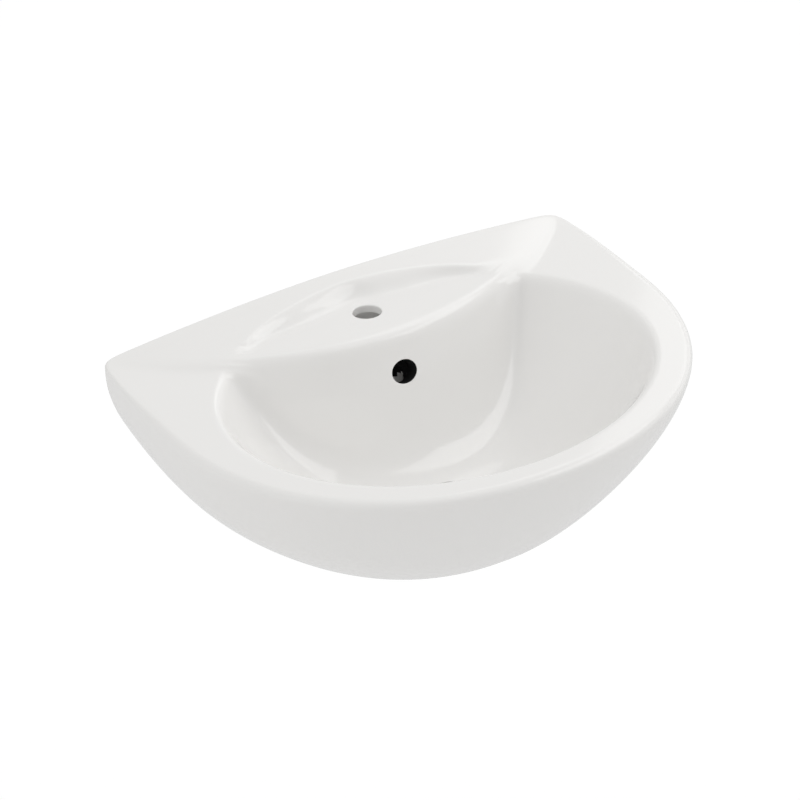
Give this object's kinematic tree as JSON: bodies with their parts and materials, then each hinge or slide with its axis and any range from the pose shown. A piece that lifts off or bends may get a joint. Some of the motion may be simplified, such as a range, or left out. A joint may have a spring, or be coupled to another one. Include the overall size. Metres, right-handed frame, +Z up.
{
  "type": "wall hung basin",
  "caption": "Wall hung bathroom basin in white glazed ceramic: D-shaped rim, arched rear deck with scooped tap ledge, open tap hole, overflow, push-to-close waste and wall studs.",
  "frame": {"origin": "On the wall plane, midway between the two wall studs", "axes": "+X to the right as seen from the room, +Y into the wall, +Z up"},
  "size_m": [0.6494, 0.5274, 0.2526],
  "materials": {
    "ceramic": "glossy white glaze",
    "zinc_steel": "zinc plated",
    "white_plastic": "satin",
    "grey_plastic": "satin",
    "black_rubber": "matte",
    "chrome_brass": "polished chrome plate",
    "brass": "machined",
    "spring_steel": "bright drawn"
  },
  "bodies": {
    "basin": {"basin_body": "ceramic", "hanger_bolts": "zinc_steel", "fixing_bushes": "white_plastic", "fixing_washers": "zinc_steel", "fixing_nuts": "zinc_steel", "nut_caps": "white_plastic", "flange_seal": "black_rubber", "waste_body": "chrome_brass", "lower_seal": "black_rubber", "friction_washer": "white_plastic", "back_nut": "chrome_brass", "cartridge_housing": "grey_plastic", "return_spring": "spring_steel"},
    "plug": {"plunger": "grey_plastic", "plug_stem": "brass", "stem_locknut": "brass", "plug_cap": "chrome_brass", "plug_seal": "black_rubber"},
    "latch": {"latch_cam": "white_plastic"}
  },
  "joints": [
    {"name": "plug_slide", "type": "slide", "parent": "basin", "child": "plug", "axis": [0, 0, 1], "range_m": [-0.009, 0], "stiffness_N_per_m": 600, "springref_m": 0.004, "deforming": ["return_spring"]},
    {"name": "latch_turn", "type": "hinge", "parent": "plug", "child": "latch", "pos_m": [0, -0.271, -0.1065], "axis": [0, 0, 1], "range_deg": [-61, 1]}
  ],
  "couplings": [
    {"joint": "latch_turn", "follows": "plug_slide", "rad_per_m": 116.36}
  ]
}
